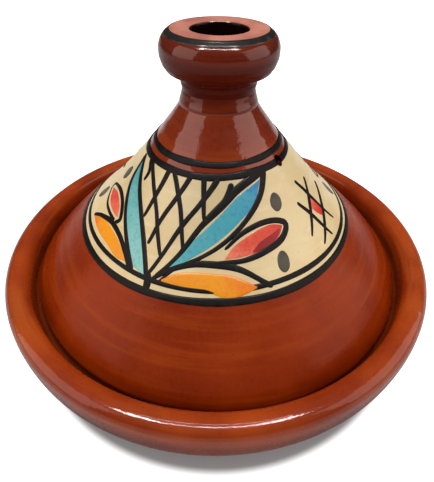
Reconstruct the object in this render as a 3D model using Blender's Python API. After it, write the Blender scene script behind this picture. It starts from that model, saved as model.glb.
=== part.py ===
"""Clay tagine: a shallow cooking dish and the tall conical lid that sits inside its rim.

Two loose fired pieces make the object. The dish is thrown in one. The lid is a thrown cone
with a hollow knob luted on its crown. Every piece is turned about the Z axis.
Metres, +Z up, origin on the axis at the level of the table.
"""

import math

import bmesh
import bpy

# ---- Driving dimensions -------------------------------------------------------------

SEGMENTS = 64                # facets round each turned piece
GAP = 0.0003                 # room left between pieces that touch

# Dish
RIM_RADIUS = 0.135           # outermost point of the rolled rim
RIM_LEVEL = 0.050            # height of the rim's outermost point
RIM_ROLL = 0.0070            # radius of the rim's rounded top
BAND_RADIUS = 0.1338         # upright outer band under the rim, at its lower end
BAND_LEVEL = 0.0350
FOOT_RADIUS = 0.089          # outside of the foot ring
FOOT_WIDTH = 0.008
FOOT_HEIGHT = 0.004
FOOT_RECESS = 0.003          # hollow under the base, inside the foot ring
LEDGE_INNER_RADIUS = 0.109   # the ledge that carries the lid
LEDGE_OUTER_RADIUS = 0.1200
LEDGE_LEVEL = 0.0400
FLOOR_RADIUS = 0.078         # flat part of the cooking floor
FLOOR_LEVEL = 0.0100

# Lid cone
LID_RADIUS = 0.1175          # outside of the seating edge
LID_WALL = 0.0060
LID_LIP_HEIGHT = 0.0035      # upright edge that stands on the ledge
WAIST_RADIUS = 0.0620        # where the side turns from a hollow flare to a dome
WAIST_LEVEL = 0.0985
CONE_TOP_RADIUS = 0.0198     # where the knob's neck stands on the cone
CONE_TOP_LEVEL = 0.1490
STEAM_HOLE_RADIUS = 0.0022
STEAM_HOLE_LEVEL = 0.1245
STEAM_HOLE_AZIMUTH = math.radians(-34.5)

# Knob
NECK_RADIUS = 0.0188
NECK_LEVEL = 0.1550          # narrowest point of the neck
KNOB_RADIUS = 0.0295
KNOB_LEVEL = 0.1735          # height of the knob's widest point
KNOB_DEPTH = 0.0105          # from the widest point down to the neck
KNOB_TOP_LEVEL = 0.1825
KNOB_FACE_RADIUS = 0.0238    # outside of the flat top face
KNOB_HOLE_RADIUS = 0.0139
KNOB_HOLE_FLOOR = 0.1550
EASE = 0.001                 # small corners are broken by this much

# How far each curve leaves its ends before it bends away: (outwards, upwards)
BOWL_PULLS = ((0.0160, 0.0), (-0.0040, -0.0170))
UNDERSIDE_PULLS = ((-0.0068, -0.0110), (0.0200, 0.0060))
FLARE_PULLS = ((0.0095, -0.0150), (-0.0140, 0.0150))
DOME_PULLS = ((0.0200, -0.0190), (-0.0090, 0.0150))

# An offset of the cone's wall moves its crown and waist by these shares of it: (inwards, down)
CROWN_OFFSET = (0.70, 1.20)
WAIST_OFFSET = (0.75, 0.70)

# Arcs, in degrees round from the outward direction
RIM_ARC = (170.0, 0.0)
KNOB_UPPER_ARC = (70.0, 0.0)
KNOB_LOWER_ARC = (0.0, -76.0)

# Steps along each kind of curve
RIM_STEPS = 10
CONE_STEPS = 10
WALL_STEPS = 7
KNOB_STEPS = 7
NECK_STEPS = 5

# Vent cutter, and limits used when a mesh is cleaned
CUTTER_SEGMENTS = 16
CUTTER_LENGTH = 0.040
CUTTER_REACH = 0.030         # from the axis to the cutter's middle
MERGE_DISTANCE = 0.00001
SHARP_ANGLE = math.radians(35.0)

# Glazed and bare clay: colour, roughness
GLAZED_CLAY = ((0.23, 0.022, 0.006, 1.0), 0.18)
GLAZED_LID = ((0.26, 0.030, 0.008, 1.0), 0.20)
GLAZED_KNOB = ((0.20, 0.018, 0.005, 1.0), 0.16)


# ---- Outline helpers: every point is (radius, height) ---------------------------------

def arc(centre, radii, span, steps):
    """Points on an ellipse's arc over a span (start, end) in degrees, both ends included."""
    points = []
    for i in range(steps + 1):
        angle = math.radians(span[0] + (span[1] - span[0]) * i / steps)
        points.append((centre[0] + radii[0] * math.cos(angle), centre[1] + radii[1] * math.sin(angle)))
    return points


def curve(start, end, pulls, steps):
    """Points on a cubic curve, both ends included; pulls are steps away from the start and the end."""
    points = []
    pull_start = (start[0] + pulls[0][0], start[1] + pulls[0][1])
    pull_end = (end[0] + pulls[1][0], end[1] + pulls[1][1])
    knots = (start, pull_start, pull_end, end)
    for i in range(steps + 1):
        t = i / steps
        weights = ((1 - t) ** 3, 3 * t * (1 - t) ** 2, 3 * t * t * (1 - t), t ** 3)
        points.append(tuple(sum(w * k[axis] for w, k in zip(weights, knots)) for axis in (0, 1)))
    return points


def joined(*stretches):
    """One outline from several stretches, with no point given twice in a row."""
    outline = []
    for stretch in stretches:
        for point in stretch:
            if not outline or math.dist(outline[-1], point) > GAP:
                outline.append(point)
    return outline


# ---- Outlines, each from the axis at the top, down the outer side, to the axis below ----

def dish_outline():
    rim_centre = (RIM_RADIUS - RIM_ROLL, RIM_LEVEL)
    foot_inside = FOOT_RADIUS - FOOT_WIDTH
    floor_edge = (FLOOR_RADIUS, FLOOR_LEVEL)
    ledge_inside = (LEDGE_INNER_RADIUS, LEDGE_LEVEL - EASE)
    wall_top = (BAND_RADIUS - EASE, BAND_LEVEL - 2 * EASE)
    wall_foot = (FOOT_RADIUS + EASE, FOOT_HEIGHT)
    return joined(
        [(0.0, FLOOR_LEVEL)],
        curve(floor_edge, ledge_inside, BOWL_PULLS, WALL_STEPS),
        [(LEDGE_INNER_RADIUS + EASE, LEDGE_LEVEL), (LEDGE_OUTER_RADIUS - EASE, LEDGE_LEVEL)],
        [(LEDGE_OUTER_RADIUS, LEDGE_LEVEL + EASE)],
        arc(rim_centre, (RIM_ROLL, RIM_ROLL), RIM_ARC, RIM_STEPS),
        [(BAND_RADIUS, BAND_LEVEL)],
        curve(wall_top, wall_foot, UNDERSIDE_PULLS, WALL_STEPS),
        [(FOOT_RADIUS, FOOT_HEIGHT - EASE), (FOOT_RADIUS - EASE, 0.0), (foot_inside, 0.0)],
        [(foot_inside - EASE, FOOT_RECESS), (0.0, FOOT_RECESS)],
    )


def cone_side(offset):
    """The cone's side from crown to seating edge, moved in from the outer surface by offset."""
    crown = (CONE_TOP_RADIUS - CROWN_OFFSET[0] * offset, CONE_TOP_LEVEL - CROWN_OFFSET[1] * offset)
    waist = (WAIST_RADIUS - WAIST_OFFSET[0] * offset, WAIST_LEVEL - WAIST_OFFSET[1] * offset)
    edge = (LID_RADIUS - offset, LEDGE_LEVEL + GAP + LID_LIP_HEIGHT)
    flare = curve(crown, waist, FLARE_PULLS, CONE_STEPS)
    dome = curve(waist, edge, DOME_PULLS, CONE_STEPS)
    return joined(flare, dome)


def cone_outline():
    seat = LEDGE_LEVEL + GAP
    lid_inside = LID_RADIUS - LID_WALL
    ceiling = CONE_TOP_LEVEL - CROWN_OFFSET[1] * LID_WALL
    return joined(
        [(0.0, CONE_TOP_LEVEL)],
        cone_side(0.0),
        [(LID_RADIUS - EASE / 2, seat + EASE), (LID_RADIUS - 1.5 * EASE, seat)],
        [(lid_inside + EASE, seat), (lid_inside, seat + EASE)],
        reversed(cone_side(LID_WALL)),
        [(0.0, ceiling)],
    )


def knob_outline():
    foot_level = CONE_TOP_LEVEL + GAP
    bulge_centre = (KNOB_FACE_RADIUS - EASE, KNOB_LEVEL)
    reach = KNOB_RADIUS - bulge_centre[0]
    upper_rise = KNOB_TOP_LEVEL - EASE / 2 - KNOB_LEVEL
    below = arc(bulge_centre, (reach, KNOB_DEPTH), KNOB_LOWER_ARC, KNOB_STEPS)
    neck_top = (NECK_RADIUS + 2 * EASE, below[-1][1] - EASE / 2)
    neck_foot = (CONE_TOP_RADIUS, foot_level + EASE)
    neck_pulls = ((NECK_RADIUS - neck_top[0], NECK_LEVEL + 3 * EASE - neck_top[1]),
                  (NECK_RADIUS - neck_foot[0], NECK_LEVEL - 2 * EASE - neck_foot[1]))
    return joined(
        [(0.0, KNOB_HOLE_FLOOR), (KNOB_HOLE_RADIUS - 3 * EASE, KNOB_HOLE_FLOOR)],
        [(KNOB_HOLE_RADIUS, KNOB_HOLE_FLOOR + 4 * EASE), (KNOB_HOLE_RADIUS, KNOB_TOP_LEVEL - EASE)],
        [(KNOB_HOLE_RADIUS + EASE, KNOB_TOP_LEVEL), (KNOB_FACE_RADIUS, KNOB_TOP_LEVEL)],
        arc(bulge_centre, (reach, upper_rise), KNOB_UPPER_ARC, KNOB_STEPS),
        below,
        curve(neck_top, neck_foot, neck_pulls, NECK_STEPS),
        [(CONE_TOP_RADIUS - EASE / 2, foot_level), (0.0, foot_level)],
    )


# ---- Building -------------------------------------------------------------------------

def clay(name, look):
    """A fired-clay material from a (colour, roughness) pair."""
    material = bpy.data.materials.new(name)
    material.use_nodes = True
    shader = material.node_tree.nodes["Principled BSDF"]
    shader.inputs["Base Color"].default_value = look[0]
    shader.inputs["Roughness"].default_value = look[1]
    shader.inputs["Metallic"].default_value = 0.0
    material.diffuse_color = look[0]
    return material


def turned(name, outline, material):
    """A closed solid made by spinning an outline that starts and ends on the axis."""
    bm = bmesh.new()
    verts = [bm.verts.new((radius, 0.0, height)) for radius, height in outline]
    edges = [bm.edges.new(pair) for pair in zip(verts, verts[1:])]
    bmesh.ops.spin(bm, geom=verts + edges, cent=(0, 0, 0), axis=(0, 0, 1),
                   angle=math.tau, steps=SEGMENTS, use_merge=True)
    bmesh.ops.remove_doubles(bm, verts=bm.verts, dist=MERGE_DISTANCE)
    bmesh.ops.recalc_face_normals(bm, faces=bm.faces)
    mesh = bpy.data.meshes.new(name)
    bm.to_mesh(mesh)
    bm.free()
    mesh.shade_smooth()
    mesh.set_sharp_from_angle(angle=SHARP_ANGLE)
    mesh.materials.append(material)
    piece = bpy.data.objects.new(name, mesh)
    bpy.context.scene.collection.objects.link(piece)
    return piece


def pierce_steam_hole(cone):
    """Cuts the small vent straight through the cone's wall, level with the table."""
    bm = bmesh.new()
    bmesh.ops.create_cone(bm, cap_ends=True, segments=CUTTER_SEGMENTS, radius1=STEAM_HOLE_RADIUS,
                          radius2=STEAM_HOLE_RADIUS, depth=CUTTER_LENGTH)
    mesh = bpy.data.meshes.new("steam_hole_cutter")
    bm.to_mesh(mesh)
    bm.free()
    cutter = bpy.data.objects.new("steam_hole_cutter", mesh)
    cutter.location = (CUTTER_REACH * math.cos(STEAM_HOLE_AZIMUTH),
                       CUTTER_REACH * math.sin(STEAM_HOLE_AZIMUTH), STEAM_HOLE_LEVEL)
    cutter.rotation_euler = (0.0, math.pi / 2, STEAM_HOLE_AZIMUTH)
    cutter.hide_render = True
    cutter.display_type = 'WIRE'
    bpy.context.scene.collection.objects.link(cutter)
    cut = cone.modifiers.new("steam_hole", 'BOOLEAN')
    cut.operation = 'DIFFERENCE'
    cut.solver = 'EXACT'
    cut.object = cutter


def clear_scene():
    for old in list(bpy.data.objects):
        bpy.data.objects.remove(old)


def build():
    clear_scene()
    turned("dish", dish_outline(), clay("dish_clay", GLAZED_CLAY))
    cone = turned("lid_cone", cone_outline(), clay("lid_clay", GLAZED_LID))
    pierce_steam_hole(cone)
    turned("lid_knob", knob_outline(), clay("knob_clay", GLAZED_KNOB))


build()
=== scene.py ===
"""Looks of a clay tagine: turned and glazed pieces, a hand-painted slip band, and a soft studio."""

import math
import random
from collections import namedtuple

import bmesh
import bpy
import numpy as np
from mathutils import Matrix, Vector


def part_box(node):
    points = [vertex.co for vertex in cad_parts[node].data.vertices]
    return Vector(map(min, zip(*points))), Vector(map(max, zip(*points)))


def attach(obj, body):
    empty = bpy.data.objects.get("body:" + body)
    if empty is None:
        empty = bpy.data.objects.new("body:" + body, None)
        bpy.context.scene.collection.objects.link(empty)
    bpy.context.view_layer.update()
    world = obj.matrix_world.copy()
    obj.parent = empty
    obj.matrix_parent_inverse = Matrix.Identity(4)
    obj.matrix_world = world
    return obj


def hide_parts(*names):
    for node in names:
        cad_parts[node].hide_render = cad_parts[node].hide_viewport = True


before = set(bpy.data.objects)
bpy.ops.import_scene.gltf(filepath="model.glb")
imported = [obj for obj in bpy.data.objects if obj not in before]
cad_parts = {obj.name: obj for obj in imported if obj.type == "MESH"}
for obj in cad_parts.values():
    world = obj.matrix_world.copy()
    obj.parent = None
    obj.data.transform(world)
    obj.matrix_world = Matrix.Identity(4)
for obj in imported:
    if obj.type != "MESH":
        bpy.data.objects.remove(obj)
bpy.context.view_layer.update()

MM = 0.001
random.seed(7)


# ---- Sizes, worked out from the parts' boxes in model.glb -----------------------------------

dish_low, dish_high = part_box("dish")
cone_low, cone_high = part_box("lid_cone")
knob_low, knob_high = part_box("lid_knob")


def level(low, high, share):
    """The height at a share of the way up a node's box."""
    return low.z + share * (high.z - low.z)


RIM_RADIUS = dish_high.x
KNOB_RADIUS = knob_high.x
BAND_FOOT = level(cone_low, cone_high, 0.407)    # the line that the painted motif stands on
BAND_TOP = level(cone_low, cone_high, 0.775)     # the line under the neck
CREASE = 0.17                                    # where the knob was luted on, as a share of its height

ROUND = 240                                      # facets round the dish and the lid
KNOB_ROUND = 160
PATH_STEP = 1.0 * MM                             # spacing of points along the outline of a large piece
KNOB_STEP = 0.4 * MM
CURVE_STEP = 0.25 * MM                           # spacing on the curve through an outline's points
EASE_STEP = 0.2 * MM                             # spacing while corners are eased
CORNER = math.radians(30)                        # a sharper turn than this stays a corner
DISH_EASE = 0.6 * MM                             # how far corners are eased
LID_EASE = 0.5 * MM

# The low ridges that fingers leave on the wheel: wavelength, height and phase of each.
DISH_RIDGES = ((7.3 * MM, 0.02 * MM, 0.4), (13.1 * MM, 0.04 * MM, 1.9))
LID_RIDGES = ((8.7 * MM, 0.015 * MM, 0.0), (17.3 * MM, 0.05 * MM, 1.1))
RIDGE_FADE = 6 * MM                              # ridges die out within this radius

OVAL = 0.0022                                    # departure from a true circle, as a share of the radius
LOBES = 0.0012
LEAN = 0.12 * MM                                 # height change at the rim


# ---- Outlines of the turned pieces ------------------------------------------------------------

def cad_outline(node):
    """A turned node's outline as (radius, height) points, from the axis at its top to the axis below."""
    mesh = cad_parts[node].data
    spot = {}
    for vertex in mesh.vertices:
        if abs(vertex.co.y) < 1e-6 and vertex.co.x > -1e-6:
            spot[vertex.index] = (round(vertex.co.x, 6), round(vertex.co.z, 6))
    beside = {}
    for edge in mesh.edges:
        a, b = edge.vertices
        if a in spot and b in spot and spot[a] != spot[b]:
            beside.setdefault(spot[a], set()).add(spot[b])
            beside.setdefault(spot[b], set()).add(spot[a])
    here = max((p for p in beside if len(beside[p]) == 1), key=lambda p: p[1])
    outline = [here]
    while True:
        onward = [p for p in beside[here] if p not in outline]
        if not onward:
            break
        here = onward[0]
        outline.append(here)
    return np.array([(0.0, outline[0][1])] + outline + [(0.0, outline[-1][1])])


def unit(vector):
    return vector / max(np.linalg.norm(vector), 1e-12)


def hermite(t, start, leave, end, enter):
    """A cubic from start to end, with the given tangents."""
    return ((2 * t ** 3 - 3 * t ** 2 + 1) * start + (t ** 3 - 2 * t ** 2 + t) * leave
            + (3 * t ** 2 - 2 * t ** 3) * end + (t ** 3 - t ** 2) * enter)


def distances(points):
    """Distance along a path at each of its points."""
    return np.r_[0, np.cumsum(np.linalg.norm(np.diff(points, axis=0), axis=1))]


def evenly_spaced(points, step):
    along = distances(points)
    stations = np.linspace(0, along[-1], max(3, round(along[-1] / step) + 1))
    return np.stack([np.interp(stations, along, points[:, axis]) for axis in (0, 1)], 1)


def smooth_curve(outline):
    """A curve through an outline's points that keeps its corners."""
    runs = [unit(b - a) for a, b in zip(outline, outline[1:])]
    points = [outline[0]]
    for i, (a, b) in enumerate(zip(outline, outline[1:])):
        length = np.linalg.norm(b - a)
        leave = enter = runs[i]
        if i > 0 and runs[i - 1] @ runs[i] > math.cos(CORNER):
            leave = unit(runs[i - 1] + runs[i])
        if i + 1 < len(runs) and runs[i] @ runs[i + 1] > math.cos(CORNER):
            enter = unit(runs[i] + runs[i + 1])
        count = max(2, round(length / CURVE_STEP))
        for k in range(1, count + 1):
            points.append(hermite(k / count, a, length * leave, b, length * enter))
    return np.array(points)


def eased(points, ease):
    """The path with its corners worn round: a Gaussian blur along evenly spaced points."""
    reach = int(3 * ease / EASE_STEP)
    kernel = np.exp(-0.5 * (np.arange(-reach, reach + 1) * EASE_STEP / ease) ** 2)
    kernel /= kernel.sum()
    result = points.copy()
    for axis in (0, 1):
        column = points[:, axis]
        before = 2 * column[0] - column[reach:0:-1]
        after = 2 * column[-1] - column[-2:-reach - 2:-1]
        result[:, axis] = np.convolve(np.r_[before, column, after], kernel, "valid")
    return result


def rounded_outline(node, step, ease):
    """A turned node's outline as a smooth curve, evenly spaced, with its corners eased."""
    points = eased(evenly_spaced(smooth_curve(cad_outline(node)), EASE_STEP), ease)
    points = evenly_spaced(points, step)
    points[0, 0] = points[-1, 0] = 0.0
    return points


def outward(points):
    """The outline's unit normals, out of the clay."""
    slope = np.gradient(points, axis=0)
    slope /= np.maximum(np.linalg.norm(slope, axis=1), 1e-12)[:, None]
    return np.stack([-slope[:, 1], slope[:, 0]], 1)


def thrown(points, ridges):
    """The outline with throwing ridges."""
    along = distances(points)
    relief = sum(height * np.sin(math.tau * along / wave + phase + 0.9 * np.sin(along / (2.3 * wave)))
                 for wave, height, phase in ridges)
    relief *= np.clip(points[:, 0] / RIDGE_FADE, 0, 1)
    return points + outward(points) * relief[:, None]


# ---- Mesh building ----------------------------------------------------------------------------

def new_piece(name, verts, faces, material, smooth=True):
    mesh = bpy.data.meshes.new(name)
    mesh.from_pydata([tuple(v) for v in verts], [], faces)
    if smooth:
        mesh.shade_smooth()
    mesh.materials.append(material)
    piece = bpy.data.objects.new(name, mesh)
    bpy.context.scene.collection.objects.link(piece)
    return piece


def uneven(points, phase, lean):
    """Moves points as a hand-thrown piece departs from a true circle; lean is a height change at the rim."""
    x, y, z = points[:, 0], points[:, 1], points[:, 2]
    azimuth = np.arctan2(y, x)
    stretch = 1 + OVAL * np.sin(2 * azimuth + phase) + LOBES * np.sin(3 * azimuth + 2.1 * phase)
    lift = lean * (1 + np.sin(azimuth + 1.7 * phase)) * np.hypot(x, y) / RIM_RADIUS
    return np.stack([x * stretch, y * stretch, z + lift], 1)


def uneven_dish(points):
    return uneven(points, 0.6, -LEAN)


def uneven_lid(points):
    return uneven(points, 2.2, LEAN)


def turned(name, outline, segments, material, bend):
    """A closed solid spun from an outline that starts and ends on the axis."""
    ring = outline[1:-1]
    angles = np.linspace(0, math.tau, segments, endpoint=False)
    grid = np.stack([np.outer(ring[:, 0], np.cos(angles)), np.outer(ring[:, 0], np.sin(angles)),
                     np.repeat(ring[:, 1:2], segments, 1)], 2).reshape(-1, 3)
    poles = np.array([[0, 0, outline[0, 1]], [0, 0, outline[-1, 1]]])
    top, bottom = len(grid), len(grid) + 1
    last = (len(ring) - 1) * segments
    faces = []
    for j in range(segments):
        k = (j + 1) % segments
        faces.append((top, j, k))
        faces.append((last + j, bottom, last + k))
        for i in range(len(ring) - 1):
            here, below = i * segments, (i + 1) * segments
            faces.append((here + j, below + j, below + k, here + k))
    return new_piece(name, bend(np.r_[grid, poles]), faces, material)


# ---- The lid's side, as a surface to paint on ---------------------------------------------------

SIDE_START = 0.15 * cone_high.x                  # the side starts at this radius, on the crown


class Side:
    """The lid cone's outer surface, by azimuth and by distance down the slope."""

    def __init__(self, outline):
        start = int(np.argmax(outline[:, 0] > SIDE_START))
        end = int(np.argmax(outline[:, 0]))
        self.points = outline[start:end]
        self.normals = outward(outline)[start:end]
        self.along = distances(self.points)

    def down_slope(self, percent):
        """Distance down the slope of a height given in percent of the painted band."""
        heights = BAND_FOOT + (BAND_TOP - BAND_FOOT) * np.asarray(percent, float) / 100
        return np.interp(-heights, -self.points[:, 1], self.along)

    def radius(self, slope):
        return np.interp(slope, self.along, self.points[:, 0])

    def place(self, azimuth, slope, lift):
        """Points in space; azimuth in radians from the front, to the right."""
        radius, height = (np.interp(slope, self.along, column) for column in self.points.T)
        out, up = (np.interp(slope, self.along, column) for column in self.normals.T)
        reach = radius + out * lift
        return np.stack([reach * np.sin(azimuth), -reach * np.cos(azimuth), height + up * lift], -1)


LID_OUTLINE = thrown(rounded_outline("lid_cone", PATH_STEP, LID_EASE), LID_RIDGES)
SIDE = Side(LID_OUTLINE)


# ---- Brush strokes --------------------------------------------------------------------------------

ACROSS = 7                                       # points across a line
BROAD_ACROSS = 9                                 # points across a broad stroke
PATCH_ACROSS = 13
RING_COUNT = 360                                 # points along a ring line
PATCH_COUNT = 48                                 # points along a patch
ROUGH_COUNT = 40                                 # points on a stroke's path before its length is known
WIDTH_COUNT = 60
STROKE_STEP = 0.7 * MM                           # spacing of points along a stroke
LINE_LIFT = 0.30 * MM                            # how far a line's paint stands proud
FILL_LIFT = 0.20 * MM
PAINT_DEPTH = 0.25 * MM                          # how far paint reaches into the glaze
SUNK = 0.04 * MM                                 # how far a stroke's edge dips under the surface
LOADED_HALF = 0.7 * MM                           # half width from which a stroke carries its full load
THINNEST_HALF = 0.12 * MM
WOBBLE = 0.07                                    # share by which a hand-drawn width drifts
WOBBLE_STEP = 9                                  # points between two changes of that drift
TILT_AT_FOOT = 1.5 * MM                          # how far round-going lines are tilted
TILT_AT_TOP = 0.5 * MM

Paint = namedtuple("Paint", "verts faces along side")


def smooth_through(values, count):
    """count samples of a smooth curve through a few values."""
    values = np.asarray(values, float)
    knots = np.linspace(0, 1, len(values))
    if len(values) > 2:
        slopes = np.gradient(values, knots, axis=0)
    else:
        slopes = np.repeat(values[1:] - values[:1], 2, axis=0)
    t = np.linspace(0, 1, count)
    i = np.minimum((t * (len(values) - 1)).astype(int), len(values) - 2)
    width = knots[1] - knots[0]
    u = (t - knots[i]) / width
    if values.ndim == 2:
        u = u[:, None]
    return hermite(u, values[i], width * slopes[i], values[i + 1], width * slopes[i + 1])


def hand(count, size):
    """A slow random drift, as of an unsteady hand."""
    knots = [random.uniform(-size, size) for _ in range(max(4, count // WOBBLE_STEP))]
    return smooth_through(knots, count)


def close_at_ends(count):
    """Stations from 0 to 1 that crowd towards both ends."""
    return 0.5 - 0.5 * np.cos(np.linspace(0, math.pi, count))


def close_at_edges(across):
    """Stations from -1 to 1 that crowd towards both edges."""
    return np.sin(np.linspace(-math.pi / 2, math.pi / 2, across))


def on_side(points, middle):
    """(azimuth, slope) of points given as (degrees from middle, percent up the band)."""
    azimuth, percent = np.array(points, float).T
    return np.stack([np.radians(azimuth + middle), SIDE.down_slope(percent)], 1)


def round_ends(half, stations, length):
    """The half widths of a stroke, narrowed to a round tip at each end."""
    cap = np.minimum(half.max(), 0.45 * length)
    near = np.clip(np.minimum(stations, 1 - stations) * length / cap, 0, 1)
    return half * np.sqrt(np.clip(1 - (1 - near) ** 2, 0.004, 1))


def stroke(points, widths, middle, lift=LINE_LIFT, blunt=True, across=ACROSS):
    """A brush stroke laid on the lid through points, with widths in mm; a blunt one has round tips."""
    rough = smooth_through(on_side(points, middle), ROUGH_COUNT)
    hop = np.hypot(np.diff(rough[:, 0]) * SIDE.radius(rough[1:, 1]), np.diff(rough[:, 1]))
    length = hop.sum()
    along = np.r_[0, np.cumsum(hop)] / length
    count = max(10, round(length / STROKE_STEP))
    stations = close_at_ends(count) if blunt else np.linspace(0, 1, count)
    centre = np.stack([np.interp(stations, along, rough[:, k]) for k in (0, 1)], 1)
    half = smooth_through(widths, WIDTH_COUNT) * MM / 2
    half = np.interp(stations, np.linspace(0, 1, WIDTH_COUNT), half)
    half = np.maximum(half * (1 + hand(count, WOBBLE)), THINNEST_HALF)
    if blunt:
        half = round_ends(half, stations, length)
    return ribbon(centre, half, lift, False, across)


def patch(side_a, side_b, middle, lift=FILL_LIFT):
    """A filled shape between two sides that meet at both ends, as one broad load of paint."""
    stations = close_at_ends(PATCH_COUNT)
    even = np.linspace(0, 1, PATCH_COUNT)
    edges = []
    for points in (side_a, side_b):
        edge = smooth_through(on_side(points, middle), PATCH_COUNT)
        edges.append(np.stack([np.interp(stations, even, edge[:, k]) for k in (0, 1)], 1))
    centre = (edges[0] + edges[1]) / 2
    spread = (edges[0] - edges[1]) / 2
    u = close_at_edges(PATCH_ACROSS)
    reach = np.hypot(spread[:, 0] * SIDE.radius(centre[:, 1]), spread[:, 1])
    return strip(centre[:, :1] + spread[:, :1] * u, centre[:, 1:] + spread[:, 1:] * u, u, reach, lift, False)


def ribbon(centre, half, lift, closed, across):
    """A thin raised strip of paint along a path on the lid's side."""
    radius = SIDE.radius(centre[:, 1])
    if closed:
        turn = np.roll(centre, -1, 0) - np.roll(centre, 1, 0)
        turn[:, 0] = (turn[:, 0] + math.pi) % math.tau - math.pi
    else:
        turn = np.gradient(centre, axis=0)
    run = np.stack([turn[:, 0] * radius, turn[:, 1]], 1)
    run /= np.maximum(np.linalg.norm(run, axis=1), 1e-12)[:, None]
    u = close_at_edges(across)
    azimuth = centre[:, :1] - run[:, 1:] * half[:, None] * u / radius[:, None]
    slope = centre[:, 1:] + run[:, :1] * half[:, None] * u
    return strip(azimuth, slope, u, half, lift, closed)


def strip(azimuth, slope, u, half, lift, closed):
    """The closed solid over a grid of places on the side: rows run along the stroke, columns across it."""
    count, across = azimuth.shape
    swell = (1 - np.abs(u) ** 6) ** 0.5
    load = np.clip(half / LOADED_HALF, 0.35, 1)[:, None]
    upper = SIDE.place(azimuth, slope, -SUNK + (lift * load + SUNK) * swell)
    lower = SIDE.place(azimuth[:, ::-1], slope[:, ::-1], np.full_like(azimuth, -PAINT_DEPTH))
    verts = np.concatenate([upper, lower], 1).reshape(-1, 3)
    loop = 2 * across
    faces = []
    for i in range(count if closed else count - 1):
        a, b = i * loop, ((i + 1) % count) * loop
        for j in range(loop):
            k = (j + 1) % loop
            faces.append((a + j, b + j, b + k, a + k))
    if not closed:
        faces.append(tuple(range(loop)))
        faces.append(tuple(reversed(range((count - 1) * loop, count * loop))))
    along = np.repeat(np.linspace(0, 1, count), loop)
    return Paint(verts, faces, along, np.tile(np.r_[u, u[::-1]], count))


def band_tilt(azimuth, percent):
    """How far the painted band drops down the slope: it sits lower on the left, and most so at its foot."""
    return -np.sin(azimuth) * (TILT_AT_FOOT + (TILT_AT_TOP - TILT_AT_FOOT) * percent / 100)


def ring_line(percent, width, sway):
    """A painted line all the way round the lid; its width and its sway are in mm."""
    azimuth = np.linspace(0, math.tau, RING_COUNT, endpoint=False)
    phases = [random.uniform(0, 6) for _ in range(4)]
    drift = 0.6 * np.sin(2 * azimuth + phases[0]) + 0.4 * np.sin(5 * azimuth + phases[1])
    swell = 1 + 0.07 * np.sin(3 * azimuth + phases[2]) + 0.05 * np.sin(11 * azimuth + phases[3])
    slope = SIDE.down_slope(percent) + sway * MM * drift + band_tilt(azimuth, percent)
    return ribbon(np.stack([azimuth, slope], 1), 0.5 * width * MM * swell, LINE_LIFT, True, ACROSS)


def painted(name, strokes, material):
    """One piece from many strokes, each a closed solid, with its brush coordinates kept for the material."""
    faces = []
    tone = []
    shift = 0
    for paint in strokes:
        faces += [tuple(shift + k for k in face) for face in paint.faces]
        tone.append(np.full(len(paint.verts), random.random()))
        shift += len(paint.verts)
    verts = uneven_lid(np.concatenate([paint.verts for paint in strokes]))
    piece = new_piece(name, verts, faces, material)
    bm = bmesh.new()
    bm.from_mesh(piece.data)
    bmesh.ops.recalc_face_normals(bm, faces=bm.faces)
    bm.to_mesh(piece.data)
    bm.free()
    along = [paint.along for paint in strokes]
    side = [paint.side for paint in strokes]
    for label, values in (("along", along), ("side", side), ("tone", tone)):
        layer = piece.data.attributes.new(label, 'FLOAT', 'POINT')
        layer.data.foreach_set("value", np.concatenate(values).astype(np.float32))
    return piece


# ---- Materials --------------------------------------------------------------------------------------

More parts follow.
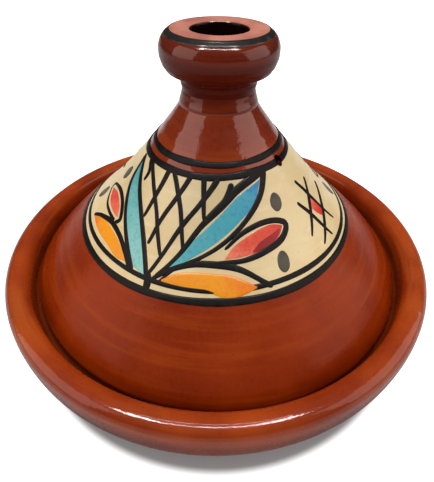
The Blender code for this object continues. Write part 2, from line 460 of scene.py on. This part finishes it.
class Nodes:
    """Short calls for wiring a material."""

    def __init__(self, name):
        self.material = bpy.data.materials.new(name)
        self.material.use_nodes = True
        self.tree = self.material.node_tree
        self.shader = self.tree.nodes["Principled BSDF"]
        self.place = self.add("ShaderNodeTexCoord").outputs["Object"]

    def add(self, kind, **settings):
        node = self.tree.nodes.new(kind)
        for key, value in settings.items():
            setattr(node, key, value)
        return node

    def join(self, source, target):
        """Links a socket to target, or sets target to a plain value."""
        if hasattr(source, "links"):
            self.tree.links.new(source, target)
        else:
            target.default_value = source

    def noise(self, scale, detail=3.0, stretch=(1, 1, 1)):
        """3D noise; scale is in features per metre."""
        mapping = self.add("ShaderNodeMapping")
        mapping.inputs["Scale"].default_value = stretch
        self.join(self.place, mapping.inputs["Vector"])
        node = self.add("ShaderNodeTexNoise")
        self.join(mapping.outputs["Vector"], node.inputs["Vector"])
        node.inputs["Scale"].default_value = scale
        node.inputs["Detail"].default_value = detail
        node.inputs["Roughness"].default_value = 0.55
        return node.outputs["Fac"]

    def specks(self, scale, size):
        """1 in small round spots, 0 elsewhere."""
        cell = self.add("ShaderNodeTexVoronoi")
        self.join(self.place, cell.inputs["Vector"])
        cell.inputs["Scale"].default_value = scale
        return self.remap(cell.outputs["Distance"], size, 0.4 * size)

    def attribute(self, label):
        return self.add("ShaderNodeAttribute", attribute_name=label).outputs["Fac"]

    def remap(self, value, low, high, to_low=0.0, to_high=1.0):
        node = self.add("ShaderNodeMapRange", interpolation_type='SMOOTHSTEP')
        self.join(value, node.inputs["Value"])
        for label, number in (("From Min", low), ("From Max", high), ("To Min", to_low), ("To Max", to_high)):
            node.inputs[label].default_value = number
        return node.outputs["Result"]

    def math(self, operation, a, b=0.0):
        node = self.add("ShaderNodeMath", operation=operation)
        self.join(a, node.inputs[0])
        self.join(b, node.inputs[1])
        return node.outputs[0]

    def times(self, a, b):
        return self.math('MULTIPLY', a, b)

    def mix(self, factor, a, b):
        node = self.add("ShaderNodeMix", data_type='RGBA')
        self.join(factor, node.inputs["Factor"])
        self.join(a, node.inputs["A"])
        self.join(b, node.inputs["B"])
        return node.outputs["Result"]

    def bump(self, height, strength, distance, under=None):
        node = self.add("ShaderNodeBump")
        self.join(height, node.inputs["Height"])
        node.inputs["Strength"].default_value = strength
        node.inputs["Distance"].default_value = distance
        if under is not None:
            self.join(under, node.inputs["Normal"])
        return node.outputs["Normal"]

    def finish(self, colour, roughness, normal=None, specular=0.5):
        self.join(colour, self.shader.inputs["Base Color"])
        self.join(roughness, self.shader.inputs["Roughness"])
        self.shader.inputs["Specular IOR Level"].default_value = specular
        if normal is not None:
            self.join(normal, self.shader.inputs["Normal"])
        return self.material

    def coat(self, weight, roughness, normal):
        """A clear layer over the paint or the clay."""
        self.join(weight, self.shader.inputs["Coat Weight"])
        self.join(roughness, self.shader.inputs["Coat Roughness"])
        self.join(normal, self.shader.inputs["Coat Normal"])


def rgb(red, green, blue):
    """A linear colour from 0..255 display values."""
    def linear(value):
        value /= 255
        return value / 12.92 if value <= 0.04045 else ((value + 0.055) / 1.055) ** 2.4
    return (linear(red), linear(green), linear(blue), 1.0)


# The look of a glaze at one height: how blurred its shine is, how much painted shade it takes
# (a dark tone standing in for shadow), and how strong its shine is.
Glaze = namedtuple("Glaze", "height haze shade shine")

# Painted shade: the dark tone mixed into the glazes at the heights that lie in shadow.
PAINTED_SHADE_TONE = rgb(66, 12, 4)
PINHOLE_TONE = rgb(40, 12, 6)
SLIP_STREAK = rgb(245, 228, 185)
SLIP_FLECK = rgb(120, 85, 45)


def glazed_clay(name, dark, middle, bright, peel, pits, low, high):
    """Red earthenware under a thick clear glaze: mottled, streaked round by the wheel, with pinholes, and
    painted shade by height.
    """
    n = Nodes(name)
    split = n.add("ShaderNodeSeparateXYZ")
    n.join(n.place, split.inputs[0])

    def by_height(at_low, at_high):
        return n.remap(split.outputs["Z"], low.height, high.height, at_low, at_high)

    cloud = n.noise(26, detail=5)
    streak = n.noise(60, stretch=(0.25, 0.25, 5.0))
    fine = n.noise(420)
    colour = n.mix(n.remap(cloud, 0.3, 0.7), dark, middle)
    colour = n.mix(n.times(n.remap(streak, 0.45, 0.75), 0.55), colour, bright)
    colour = n.mix(n.times(n.remap(fine, 0.55, 0.8), 0.25), colour, dark)
    # painted shade, stronger or weaker with height
    colour = n.mix(by_height(low.shade, high.shade), colour, PAINTED_SHADE_TONE)
    colour = n.mix(n.times(n.specks(240, 0.10), 0.6), colour, PINHOLE_TONE)
    soft = n.bump(n.noise(90, detail=2, stretch=(0.35, 0.35, 3.0)), 0.15, 0.6 * MM)
    orange_peel = n.bump(n.noise(200), peel, 0.35 * MM, under=soft)
    pitted = n.bump(n.specks(330, 0.12), -pits, 0.25 * MM, under=orange_peel)
    haze = n.times(by_height(low.haze, high.haze), n.remap(cloud, 0.3, 0.8, 0.7, 1.5))
    n.coat(by_height(low.shine, high.shine), haze, pitted)
    return n.finish(colour, n.remap(fine, 0.3, 0.7, 0.24, 0.38), soft, 0.06)


def bare_clay(name, light, dark):
    """Unglazed clay, wiped clean: dull, with grit."""
    n = Nodes(name)
    grit = n.noise(900, detail=4)
    cloud = n.noise(70, detail=4)
    colour = n.mix(n.remap(cloud, 0.3, 0.7), dark, light)
    colour = n.mix(n.times(n.remap(grit, 0.5, 0.8), 0.35), colour, dark)
    return n.finish(colour, n.remap(grit, 0.3, 0.7, 0.55, 0.75), n.bump(grit, 0.5, 0.15 * MM))


def slip_paint(name, base, worn):
    """Pale slip brushed on round the lid under the glaze."""
    n = Nodes(name)
    sweep = n.noise(150, detail=4, stretch=(0.4, 0.4, 2.2))
    cloud = n.noise(38, detail=4)
    colour = n.mix(n.remap(cloud, 0.35, 0.7), base, worn)
    colour = n.mix(n.times(n.remap(sweep, 0.5, 0.75), 0.3), colour, SLIP_STREAK)
    colour = n.mix(n.times(n.specks(260, 0.09), 0.5), colour, SLIP_FLECK)
    relief = n.bump(sweep, 0.3, 0.25 * MM)
    n.coat(0.35, 0.16, relief)
    return n.finish(colour, 0.42, relief)


def brush_paint(name, start, middle, end, dark, haze=0.12, shine=0.16):
    """Coloured enamel that changes along its stroke, a little different in each, with bristle streaks."""
    n = Nodes(name)
    drift = n.times(n.math('SUBTRACT', n.noise(130), 0.5), 0.5)
    drift = n.math('ADD', n.attribute("along"), drift)
    drift = n.math('ADD', drift, n.times(n.math('SUBTRACT', n.attribute("tone"), 0.5), 0.12))
    colour = n.mix(n.remap(drift, 0.1, 0.55), start, middle)
    colour = n.mix(n.remap(drift, 0.5, 0.95), colour, end)
    bristle = n.noise(520)
    colour = n.mix(n.times(n.remap(bristle, 0.45, 0.75), 0.35), colour, dark)
    relief = n.bump(bristle, 0.25, 0.15 * MM)
    n.coat(shine, haze, relief)
    return n.finish(colour, n.remap(bristle, 0.3, 0.7, 0.3, 0.45), relief, 0.2)


def black_paint(name, core, thin, shine=0.05):
    """Manganese black, thin and brownish where the brush ran dry."""
    n = Nodes(name)
    dry = n.noise(260, detail=4)
    edge = n.math('ABSOLUTE', n.attribute("side"))
    colour = n.mix(n.times(n.remap(edge, 0.55, 1.0), n.remap(dry, 0.4, 0.7)), core, thin)
    colour = n.mix(n.times(n.remap(dry, 0.55, 0.8), 0.5), colour, thin)
    relief = n.bump(dry, 0.35, 0.15 * MM)
    n.coat(shine, 0.12, relief)
    return n.finish(colour, n.remap(dry, 0.3, 0.7, 0.4, 0.6), relief, 0.12)


# Painted shade by height: dish darker low down, lid at its top by the knob, knob on its neck and its foot
# towards the crease.
DISH_CLAY = glazed_clay(
    "dish_clay", rgb(130, 42, 10), rgb(160, 62, 14), rgb(178, 84, 28), peel=0.5, pits=0.25,
    low=Glaze(level(dish_low, dish_high, 0.702), haze=0.08, shade=0.55, shine=0.15),
    high=Glaze(level(dish_low, dish_high, 0.93), haze=0.035, shade=0.0, shine=0.62))
LID_CLAY = glazed_clay(
    "lid_clay", rgb(126, 35, 1), rgb(149, 48, 2), rgb(166, 65, 8), peel=0.6, pits=0.4,
    low=Glaze(level(cone_low, cone_high, 0.439), haze=0.22, shade=0.0, shine=0.10),
    high=Glaze(level(cone_low, cone_high, 0.807), haze=0.04, shade=0.10, shine=1.0))
KNOB_CLAY = glazed_clay(
    "knob_clay", rgb(84, 20, 3), rgb(104, 28, 4), rgb(128, 43, 10), peel=0.45, pits=0.4,
    low=Glaze(level(knob_low, knob_high, 0.503), haze=0.10, shade=0.55, shine=0.06),
    high=Glaze(level(knob_low, knob_high, 0.895), haze=0.035, shade=0.0, shine=0.70))
NECK_CLAY = glazed_clay(
    "neck_clay", rgb(98, 25, 2), rgb(118, 35, 3), rgb(140, 51, 9), peel=0.5, pits=0.4,
    low=Glaze(level(knob_low, knob_high, -0.039), haze=0.04, shade=0.0, shine=0.8),
    high=Glaze(level(knob_low, knob_high, 0.202), haze=0.06, shade=0.35, shine=0.35))
# Painted shade: near-black glaze for the insides of the knob's hole and of the steam hole.
HOLE_SHADE_CLAY = glazed_clay(
    "hole_shade_clay", rgb(16, 3, 1), rgb(26, 5, 2), rgb(34, 7, 3), peel=0.3, pits=0.2,
    low=Glaze(knob_low.z, haze=0.1, shade=0.5, shine=0.1),
    high=Glaze(knob_high.z, haze=0.1, shade=0.0, shine=0.1))
BARE_CLAY = bare_clay("bare_clay", rgb(186, 112, 90), rgb(160, 84, 62))
CREAM = slip_paint("cream_slip", rgb(226, 200, 146), rgb(216, 186, 128))
BLACK = black_paint("black_line", rgb(14, 9, 7), rgb(50, 38, 30))
KNOB_BLACK = black_paint("knob_black", rgb(34, 32, 29), rgb(84, 76, 64), shine=0.6)
TURQUOISE = brush_paint("turquoise", rgb(96, 178, 178), rgb(70, 166, 182), rgb(0, 112, 190),
                        rgb(24, 104, 150))
TEAL = brush_paint("teal", rgb(150, 202, 190), rgb(120, 188, 182), rgb(66, 150, 160), rgb(60, 140, 150))
ORANGE = brush_paint("orange", rgb(240, 146, 4), rgb(244, 154, 2), rgb(236, 98, 2), rgb(226, 112, 0))
RED = brush_paint("red", rgb(240, 124, 92), rgb(224, 72, 48), rgb(206, 34, 22), rgb(190, 30, 26))
DEEP_RED = brush_paint("deep_red", rgb(168, 20, 16), rgb(150, 12, 12), rgb(176, 28, 18), rgb(110, 6, 10))
OLIVE = brush_paint("olive", rgb(70, 66, 50), rgb(78, 74, 58), rgb(62, 58, 46), rgb(46, 42, 34),
                    haze=0.2, shine=0.15)


# ---- The painted band ---------------------------------------------------------------------------------
# Places are (degrees to the right of the motif's middle, percent up the band), widths are in mm.

MOTIF_AZIMUTHS = (-22.0, 158.0)                  # the motif shows twice, half a turn apart
HASH_FROM_MOTIF = 85.5                           # degrees from a motif's middle to the hash beside it

BAND_ACROSS = 61
BAND_COUNT = 300
BAND_LIFT = 0.10 * MM
BAND_BOTTOM = -9.0                               # percent

# Percent up the band, width and sway of each ring line.
RINGS = ((111.5, 3.6, 0.35), (100.0, 4.0, 0.45), (0.0, 2.9, 0.5), (-9.5, 4.0, 0.5))

LATTICE = (
    ((32, 94), (28, 82), (23, 71)),
    ((12, 101), (13.5, 79), (15, 59)),
    ((-14, 102), (-6.5, 87), (0.5, 67), (4.5, 45), (7, 29)),
    ((-40, 100), (-24.5, 79), (-14, 59), (-7, 36), (-2.5, 20)),
    ((-41, 97), (-34.5, 86), (-34, 75)),
    ((-16.5, 100), (-18, 74), (-19.5, 46)),
    ((3, 101), (-3.5, 76), (-8.5, 52), (-10.5, 26)),
    ((22.5, 99), (11.5, 73), (2.5, 46), (-5, 3)),
)
HASH = (
    ((-4, 74), (0, 58), (3.5, 36), (6.5, 13)),
    ((-12.5, 56), (-7, 36), (-3, 7)),
    ((9, 67), (-4, 44), (-15.5, 21)),
    ((20, 47), (5.5, 31), (-11.5, 8)),
)
DOTS = ((58.5, 67.5), (50.5, 15), (-57, 62), (-65, 18))


def right_leaf(middle):
    return [patch(((-1, 3), (7, 30), (15, 50), (30, 76), (40, 86), (53, 93)),
                  ((-1, 3), (10, 22), (20, 36), (33, 55), (45, 73), (53, 93)), middle)]


def left_leaf(middle):
    return [patch(((-4, -1), (-8.5, 14), (-15, 32), (-24, 51), (-36, 70), (-51, 91)),
                  ((-4, -1), (-15, 6), (-24, 22), (-34, 41), (-46, 66), (-51, 91)), middle)]


def leaf_lines(middle):
    """The outlines of both leaves, and the short stem under them."""
    return [
        stroke(((-2, 2), (5, 24), (14, 54), (27, 77), (38, 90), (57, 101)),
               (2.4, 2.6, 3.2, 4.2, 4.8, 4.4), middle),
        stroke(((0, 0), (6, 15), (15, 26), (25, 39), (38, 59), (51, 81), (58.5, 101)),
               (1.4, 2.0, 2.4, 2.8, 3.0, 3.4, 4.2), middle),
        stroke(((-4.5, -3), (-8.5, 13), (-15, 32), (-24, 51.5), (-36, 70.5), (-52.5, 94)),
               (2.6, 3.2, 3.2, 3.2, 3.0, 2.6), middle),
        stroke(((-12, -1), (-15, 7), (-24, 23.5), (-34, 41), (-46, 65), (-52, 92)),
               (2.6, 3.0, 3.0, 3.0, 2.8, 2.2), middle),
        stroke(((-4.5, 5), (-4, -3), (-3.5, -12)), (2.0, 4.4, 3.0), middle),
    ]


def lattice(middle):
    return [stroke(points, (3.2, 2.9, 2.7, 2.0), middle) for points in LATTICE]


def orange_petals(middle):
    return [
        patch(((0, 1), (7, 11), (17, 14), (28, 12), (38, 0)),
              ((0, 1), (9, 0), (18, -1), (27, -7), (38, 0)), middle, lift=0.36 * MM),
        patch(((-16, 4), (-26, 15), (-37, 18), (-46, 14), (-52, 5)),
              ((-16, 4), (-22, 1), (-30, 4), (-42, 4), (-52, 5)), middle),
    ]


def red_petals(middle):
    return [
        patch(((25, 25), (30, 37), (40, 47), (50, 50), (57, 45)),
              ((25, 25), (34, 26), (43, 29), (52, 35), (57, 45)), middle),
        patch(((-35, 28), (-40, 38), (-50, 42), (-60, 35)),
              ((-35, 28), (-44, 27.5), (-52, 29), (-60, 35)), middle),
    ]


def petal_lines(middle):
    return [
        stroke(((25.5, 33.5), (33.5, 46), (43.5, 52.5), (53, 52), (59, 45),
                (54, 34), (44.5, 28), (34.5, 23.5), (26, 22.5), (16, 21)),
               (1.6, 2.6, 3.0, 3.4, 3.8, 3.6, 3.4, 3.0, 2.8, 2.0), middle),
        stroke(((-3, 0), (3.5, 12), (11.5, 19.5), (20, 21), (28.5, 18.5), (35, 12), (43, -2)),
               (2.2, 2.8, 3.6, 4.0, 3.8, 3.2, 2.8), middle),
        stroke(((-61, 30), (-61, 39), (-50, 46), (-40, 42.5), (-33, 30), (-35, 23)),
               (1.4, 2.0, 2.8, 3.0, 3.0, 2.6), middle),
        stroke(((-36, 24), (-44, 24), (-52, 25), (-61, 32)), (2.4, 2.2, 2.0, 1.4), middle),
        stroke(((-53, 5), (-47, 14), (-37, 21), (-27, 18.5), (-19, 10), (-13, -1)),
               (2.4, 3.0, 3.2, 3.2, 3.0, 2.6), middle),
    ]


def deep_strokes(middle):
    """The darker second stroke on the tip of the large red petal."""
    return [patch(((37, 28), (42, 37), (50, 42), (56, 44.5)),
                  ((37, 28), (44, 30), (51, 35), (56, 44.5)), middle, lift=0.24 * MM)]


def dots(middle):
    return [stroke(((a - 1.2, p - 9), (a, p), (a + 1.0, p + 9)), (6.0, 7.6, 5.6), middle, lift=0.25 * MM,
                   across=BROAD_ACROSS) for a, p in DOTS]


def hash_lines(middle):
    return [stroke(points, (2.2, 2.9, 2.5, 1.4), middle + HASH_FROM_MOTIF) for points in HASH]


def hash_diamond(middle):
    """The red filling of the hash's middle."""
    return [stroke(((-3.0, 47), (0.2, 37.5), (2.6, 28)), (6.6, 8.0, 6.6), middle + HASH_FROM_MOTIF,
                   lift=FILL_LIFT, blunt=False, across=BROAD_ACROSS)]


def everywhere(*makers):
    """The strokes of each maker at each motif."""
    return [paint for maker in makers for middle in MOTIF_AZIMUTHS for paint in maker(middle)]


def cream_band():
    """The band of slip, one closed ring between its two slightly tilted edges."""
    azimuth = np.linspace(0, math.tau, BAND_COUNT, endpoint=False)
    top = SIDE.down_slope(100.0) + band_tilt(azimuth, 100.0)
    bottom = SIDE.down_slope(BAND_BOTTOM) + band_tilt(azimuth, BAND_BOTTOM)
    u = close_at_edges(BAND_ACROSS)
    slope = ((top + bottom) / 2)[:, None] - ((bottom - top) / 2)[:, None] * u
    return strip(np.repeat(azimuth[:, None], BAND_ACROSS, 1), slope, u, np.full(BAND_COUNT, LOADED_HALF),
                 BAND_LIFT, True)


def paint_lid():
    """Every painted piece of the lid's side, by name."""
    rings = [ring_line(*ring) for ring in RINGS]
    lines = everywhere(leaf_lines, lattice, petal_lines, hash_lines)
    pieces = [
        painted("cream_slip_band", [cream_band()], CREAM),
        painted("turquoise_leaves", everywhere(right_leaf), TURQUOISE),
        painted("teal_leaves", everywhere(left_leaf), TEAL),
        painted("orange_petals", everywhere(orange_petals), ORANGE),
        painted("red_petals", everywhere(red_petals, hash_diamond), RED),
        painted("deep_red_strokes", everywhere(deep_strokes), DEEP_RED),
        painted("olive_dots", everywhere(dots), OLIVE),
        painted("black_brush_lines", lines, BLACK),
        painted("black_ring_lines", rings, BLACK),
    ]
    return {piece.name: piece for piece in pieces}


# ---- The steam hole -------------------------------------------------------------------------------------

VENT_RADIUS = 2.5 * MM
VENT_AZIMUTH = math.radians(55.5)
VENT_PERCENT = 101.0                             # up the band
VENT_SEGMENTS = 28
VENT_LENGTH = 24 * MM


def vent_cutter():
    """A level rod through the wall, with dark clay on its side as painted shade for the hole's inside."""
    bm = bmesh.new()
    bmesh.ops.create_cone(bm, cap_ends=True, segments=VENT_SEGMENTS, radius1=VENT_RADIUS,
                          radius2=VENT_RADIUS, depth=VENT_LENGTH)
    mesh = bpy.data.meshes.new("vent_cutter")
    bm.to_mesh(mesh)
    bm.free()
    mesh.materials.append(HOLE_SHADE_CLAY)
    cutter = bpy.data.objects.new("vent_cutter", mesh)
    spot = Vector(SIDE.place(VENT_AZIMUTH, float(SIDE.down_slope(VENT_PERCENT)), 0.0))
    axis = Vector((math.sin(VENT_AZIMUTH), -math.cos(VENT_AZIMUTH), 0))
    cutter.matrix_world = Matrix.Translation(spot) @ axis.to_track_quat('Z', 'Y').to_matrix().to_4x4()
    bpy.context.scene.collection.objects.link(cutter)
    return cutter


def pierce(pieces):
    """Cuts the steam hole through the lid's wall and through the paint on it."""
    cutter = vent_cutter()
    for piece in pieces:
        cut = piece.modifiers.new("vent", 'BOOLEAN')
        cut.operation = 'DIFFERENCE'
        cut.solver = 'EXACT'
        cut.material_mode = 'TRANSFER'
        cut.object = cutter
        bpy.context.view_layer.update()
        graph = bpy.context.evaluated_depsgraph_get()
        mesh = bpy.data.meshes.new_from_object(piece.evaluated_get(graph), preserve_all_data_layers=True,
                                               depsgraph=graph)
        piece.modifiers.clear()
        piece.data = mesh
    bpy.data.objects.remove(cutter)


# ---- The knob ---------------------------------------------------------------------------------------------
# Levels and spreads are shares of the knob's height.

GROOVE_LEVEL, GROOVE_SPREAD = 0.36, 0.13
GROOVE_DEPTH, GROOVE_WAVE = 0.26 * MM, 3.6 * MM
RING_HEIGHT, RING_WAVE = 0.03 * MM, 4.7 * MM
CREASE_DEPTH, CREASE_SPREAD = 0.35 * MM, 0.022
SMEAR_TOP = CREASE + 0.02
SMEAR_OUT, SMEAR_DOWN = 1.5 * MM, 2.2 * MM

TOP_FACE_RADIUS = 24.2 * MM
TOP_FACE_DEPTH = 0.6 * MM
HOLE_REACH = 14.2 * MM                           # the hole's wall lies within this radius
HOLE_START = 4.0 * MM                            # and its floor at least this far up the knob
SHOULDER_RADIUS = 23.4 * MM                      # inner edge of the black band
SHOULDER_DROP = 2.4 * MM                         # how far below the top the black band reaches
SHOULDER_LIFT = 0.28 * MM
SHOULDER_SUNK = 0.1 * MM


def knob_outline():
    """The knob's outline, with grooves under its bulge and its foot smeared down on to the cone."""
    outline = rounded_outline("lid_knob", KNOB_STEP, LID_EASE)
    height = (outline[:, 1] - knob_low.z) / (knob_high.z - knob_low.z)
    outside = outline[:, 0] > 0.6 * KNOB_RADIUS
    along = np.arange(len(outline)) * KNOB_STEP
    fade = np.exp(-((height - GROOVE_LEVEL) / GROOVE_SPREAD) ** 2)
    grooves = GROOVE_DEPTH * fade * np.sin(math.tau * along / GROOVE_WAVE)
    rings = RING_HEIGHT * np.sin(math.tau * along / RING_WAVE)
    crease = -CREASE_DEPTH * np.exp(-((height - CREASE) / CREASE_SPREAD) ** 2)
    outline = outline + outward(outline) * ((grooves + rings + crease) * outside)[:, None]
    smear = np.clip((SMEAR_TOP - height) / SMEAR_TOP, 0, 1) ** 2 * outside
    outline += np.stack([SMEAR_OUT * smear, -SMEAR_DOWN * smear], 1)
    outline[0, 0] = outline[-1, 0] = 0.0
    return outline


def finish_knob(knob):
    """Bare clay on the flat top face, dark clay in the hole as painted shade, and paler clay below the
    crease, with painted shade towards it.
    """
    slots = {}
    for clay in (BARE_CLAY, HOLE_SHADE_CLAY, NECK_CLAY):
        knob.data.materials.append(clay)
        slots[clay] = len(knob.data.materials) - 1
    for face in knob.data.polygons:
        centre = face.center
        reach = math.hypot(centre.x, centre.y)
        if centre.z > knob_high.z - TOP_FACE_DEPTH and reach < TOP_FACE_RADIUS:
            face.material_index = slots[BARE_CLAY]
        # painted shade in the hole
        elif reach < HOLE_REACH and centre.z > knob_low.z + HOLE_START:
            face.material_index = slots[HOLE_SHADE_CLAY]
        elif centre.z < level(knob_low, knob_high, CREASE):
            face.material_index = slots[NECK_CLAY]


def shoulder_band(outline):
    """The black band on the knob's shoulder, as a thin raised ring."""
    shoulder = (outline[:, 1] > knob_high.z - SHOULDER_DROP) & (outline[:, 0] > SHOULDER_RADIUS)
    ring = outline[shoulder]
    normals = outward(outline)[shoulder]
    u = np.linspace(-1, 1, len(ring))
    swell = (1 - np.abs(u) ** 4) ** 0.6
    upper = ring + normals * (SHOULDER_LIFT * swell - SHOULDER_SUNK)[:, None]
    lower = (ring - normals * PAINT_DEPTH)[::-1]
    return spun_paint(np.r_[upper, lower], np.r_[u, u[::-1]], KNOB_ROUND)


def spun_paint(section, side, segments):
    """A closed ring of paint spun from a closed section, whose lower edge sways a little."""
    count = len(section)
    angles = np.linspace(0, math.tau, segments, endpoint=False)
    sway = 1 + 0.004 * np.sin(3 * angles + 1.0)
    verts = np.stack([np.outer(np.cos(angles), section[:, 0]), np.outer(np.sin(angles), section[:, 0]),
                      np.outer(sway, section[:, 1] - knob_high.z) + knob_high.z], 2).reshape(-1, 3)
    faces = []
    for j in range(segments):
        k = (j + 1) % segments
        for i in range(count):
            m = (i + 1) % count
            faces.append((j * count + i, k * count + i, k * count + m, j * count + m))
    return Paint(verts, faces, np.repeat(np.linspace(0, 1, segments), count), np.tile(side, segments))


# ---- Assembly ---------------------------------------------------------------------------------------------

def on_body(piece, body, slot, *nodes):
    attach(piece, body)
    if nodes:
        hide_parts(*nodes)


def make_dish():
    outline = thrown(rounded_outline("dish", PATH_STEP, DISH_EASE), DISH_RIDGES)
    dish = turned("dish_glazed", outline, ROUND, DISH_CLAY, uneven_dish)
    on_body(dish, "dish", "dish_glazed_clay", "dish")


def make_lid():
    cone = turned("lid_cone_glazed", LID_OUTLINE, ROUND, LID_CLAY, uneven_lid)
    on_body(cone, "lid", "lid_glazed_clay", "lid_cone")
    paint = paint_lid()
    pierce([cone, paint["cream_slip_band"], paint["black_ring_lines"]])
    for piece in paint.values():
        on_body(piece, "lid", "lid_glazed_clay")


def make_knob():
    outline = knob_outline()
    knob = turned("lid_knob_glazed", outline, KNOB_ROUND, KNOB_CLAY, uneven_lid)
    finish_knob(knob)
    on_body(knob, "lid", "knob_glazed_clay", "lid_knob")
    on_body(painted("knob_black_band", [shoulder_band(outline)], KNOB_BLACK), "lid", "knob_glazed_clay")


make_dish()
make_lid()
make_knob()


# ---- Stage, lights and camera -----------------------------------------------------------------------------

WHITE = (1.0, 1.0, 1.0)
ROSY = (1.0, 0.84, 0.78)
WORLD_GLOW = 0.84                                # the surroundings as light on the pieces
WORLD_SHINE = 0.04                               # the surroundings as mirrored in the glaze
WORLD_SEEN = 0.88                                # the surroundings as the camera sees them

FLOOR_RADIUS = 9.0
FLOOR_SEGMENTS = 96
SHADOW_RADIUS = RIM_RADIUS - 8.5 * MM            # the floor shows its own shading inside this radius
WHITE_RADIUS = RIM_RADIUS - 2.5 * MM             # and glows plain white to the camera outside this one

AIM = (0, 0, 0.08)                               # the point that every lamp faces

# Windows and cards that only the glaze mirrors: position, width, height, power and colour.
MIRRORED = {
    "left_window": ((-1.18, -0.42, 0.66), 1.1, 1.1, 7.5, ROSY),
    "right_window": ((1.22, -0.26, 0.66), 1.3, 1.1, 8.5, ROSY),
    "front_card": ((-0.06, -0.42, 1.28), 0.95, 0.06, 8.0, WHITE),
    "left_card": ((-0.48, -0.36, 1.26), 0.22, 0.30, 7.0, WHITE),
    "right_card": ((0.42, -0.36, 1.26), 0.22, 0.30, 7.0, WHITE),
    "back_card": ((0.0, -0.02, 1.35), 0.8, 0.05, 2.2, WHITE),
}

SENSOR_WIDTH = 36.0                              # mm, along the image's longer side
IMAGE_HEIGHT = 482
FOCAL_PIXELS = 388.0
CAMERA_BACK = 1.503 * RIM_RADIUS                 # from the pot's axis
CAMERA_UP = 1.6785 * RIM_RADIUS                  # from the floor
CAMERA_PITCH = math.radians(41.14)
CAMERA_YAW = math.radians(-0.03)
CAMERA_ROLL = math.radians(0.75)


def make_floor():
    """A pale floor with its own shading near the dish, and further out a painted white glow that only the
    camera sees, whose inner edge gives the shadow its crisp border.
    """
    n = Nodes("floor")
    distance = n.add("ShaderNodeVectorMath", operation='LENGTH')
    n.join(n.place, distance.inputs[0])
    # painted glow: share of white emission, from none inside the shadow radius to full outside the white
    # radius
    clear = n.remap(distance.outputs["Value"], SHADOW_RADIUS, WHITE_RADIUS)
    seen = n.add("ShaderNodeLightPath").outputs["Is Camera Ray"]
    n.join(n.times(clear, seen), n.shader.inputs["Emission Strength"])
    n.shader.inputs["Emission Color"].default_value = (*WHITE, 1.0)
    n.finish((0.55, 0.54, 0.54, 1.0), 0.6, specular=0.1)
    angles = [math.tau * i / FLOOR_SEGMENTS for i in range(FLOOR_SEGMENTS)]
    edge = [(FLOOR_RADIUS * math.cos(angle), FLOOR_RADIUS * math.sin(angle), 0.0) for angle in angles]
    new_piece("floor", edge, [tuple(range(FLOOR_SEGMENTS))], n.material, smooth=False)


def softbox(name, position, width, height, power, colour):
    light = bpy.data.lights.new(name, 'AREA')
    light.shape = 'RECTANGLE'
    light.size = width
    light.size_y = height
    light.energy = power
    light.color = colour
    lamp = bpy.data.objects.new(name, light)
    lamp.location = position
    lamp.rotation_euler = (Vector(AIM) - Vector(position)).to_track_quat('-Z', 'Y').to_euler()
    bpy.context.scene.collection.objects.link(lamp)
    return lamp


def make_world():
    """White surroundings, each kind of ray seeing its own brightness."""
    world = bpy.data.worlds.new("studio")
    world.use_nodes = True
    tree = world.node_tree
    path = tree.nodes.new("ShaderNodeLightPath")
    background = tree.nodes["Background"]
    background.inputs["Color"].default_value = (*WHITE, 1.0)
    strength = background.inputs["Strength"]
    for ray, brightness in (("Is Glossy Ray", WORLD_SHINE), ("Is Camera Ray", WORLD_SEEN)):
        node = tree.nodes.new("ShaderNodeMath")
        node.operation = 'MULTIPLY_ADD'
        node.inputs[1].default_value = brightness - WORLD_GLOW
        tree.links.new(path.outputs[ray], node.inputs[0])
        tree.links.new(node.outputs[0], strength)
        strength = node.inputs[2]
    strength.default_value = WORLD_GLOW
    bpy.context.scene.world = world


def make_lamps():
    """Soft light from above and behind, and the windows and cards that show in the glaze."""
    for name, settings in MIRRORED.items():
        softbox(name, *settings).visible_diffuse = False
    softbox("rear_overhead", (0, 0.85, 1.75), 1.3, 1.0, 22, WHITE).visible_glossy = False


def make_camera():
    """Close to the pot and above it, looking down past the knob."""
    camera = bpy.data.cameras.new("camera")
    camera.sensor_width = SENSOR_WIDTH
    camera.lens = FOCAL_PIXELS * SENSOR_WIDTH / IMAGE_HEIGHT
    camera.clip_start = 0.01
    holder = bpy.data.objects.new("camera", camera)
    look = Matrix.Rotation(CAMERA_YAW, 4, 'Z')
    look @= Matrix.Rotation(math.pi / 2 - CAMERA_PITCH, 4, 'X')
    look @= Matrix.Rotation(CAMERA_ROLL, 4, 'Z')
    holder.matrix_world = Matrix.Translation((0.0, -CAMERA_BACK, CAMERA_UP)) @ look
    bpy.context.scene.collection.objects.link(holder)
    bpy.context.scene.camera = holder


make_floor()
make_world()
make_lamps()
make_camera()
bpy.context.scene.view_settings.view_transform = 'Standard'
